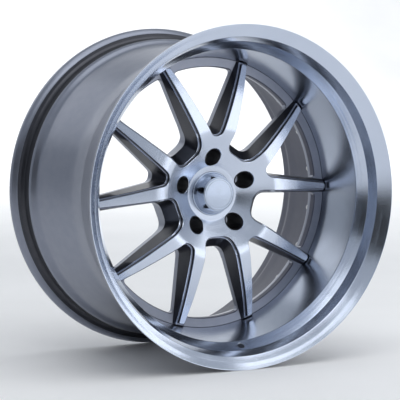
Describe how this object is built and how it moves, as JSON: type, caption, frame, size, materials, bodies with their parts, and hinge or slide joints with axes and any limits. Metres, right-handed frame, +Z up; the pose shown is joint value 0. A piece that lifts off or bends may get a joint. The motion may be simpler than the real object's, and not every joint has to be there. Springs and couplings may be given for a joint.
{
  "type": "forged racing wheel rim",
  "caption": "Deep-dish alloy racing wheel: forged barrel with stepped lip, bolted multi-spoke centre disc with stud wells and seats, and a snap-in centre cap.",
  "frame": {"origin": "on the spin axis, at the middle of the overall width, which is also the plane of the hub mounting pad", "axes": "+Y along the spin axis towards the vehicle, so the styled face looks towards -Y; +Z up with the first stud hole 2.5 degrees before the top; +X to the right as seen from the styled face"},
  "size_m": [0.522, 0.311, 0.522],
  "materials": {
    "machined_rim": "turned bright lip and dish, silver paint on the barrel",
    "machined_disc": "turned bright face with silver-grey painted sides",
    "bolt_steel": "bright zinc",
    "black_steel": "satin black",
    "cap_metal": "polished",
    "black_plastic": "matt",
    "spring_wire": "bright wire"
  },
  "bodies": {
    "wheel": {"rim": "machined_rim", "centre_disc": "machined_disc", "assembly_bolt_01": "bolt_steel", "assembly_bolt_02": "bolt_steel", "assembly_bolt_03": "bolt_steel", "assembly_bolt_04": "bolt_steel", "assembly_bolt_05": "bolt_steel", "assembly_bolt_06": "bolt_steel", "assembly_bolt_07": "bolt_steel", "assembly_bolt_08": "bolt_steel", "assembly_bolt_09": "bolt_steel", "assembly_bolt_10": "bolt_steel", "assembly_bolt_11": "bolt_steel", "assembly_bolt_12": "bolt_steel", "assembly_bolt_13": "bolt_steel", "assembly_bolt_14": "bolt_steel", "assembly_bolt_15": "bolt_steel", "assembly_bolt_16": "bolt_steel", "assembly_bolt_17": "bolt_steel", "assembly_bolt_18": "bolt_steel", "assembly_bolt_19": "bolt_steel", "assembly_bolt_20": "bolt_steel", "lug_seat_1": "black_steel", "lug_seat_2": "black_steel", "lug_seat_3": "black_steel", "lug_seat_4": "black_steel", "lug_seat_5": "black_steel"},
    "cap": {"cap_shell": "cap_metal", "cap_plate": "cap_metal", "cap_clip": "black_plastic", "cap_spring": "spring_wire"}
  },
  "joints": [
    {"name": "cap_pull", "type": "slide", "parent": "wheel", "child": "cap", "axis": [0, -1, 0], "range_m": [0, 0.05]}
  ]
}
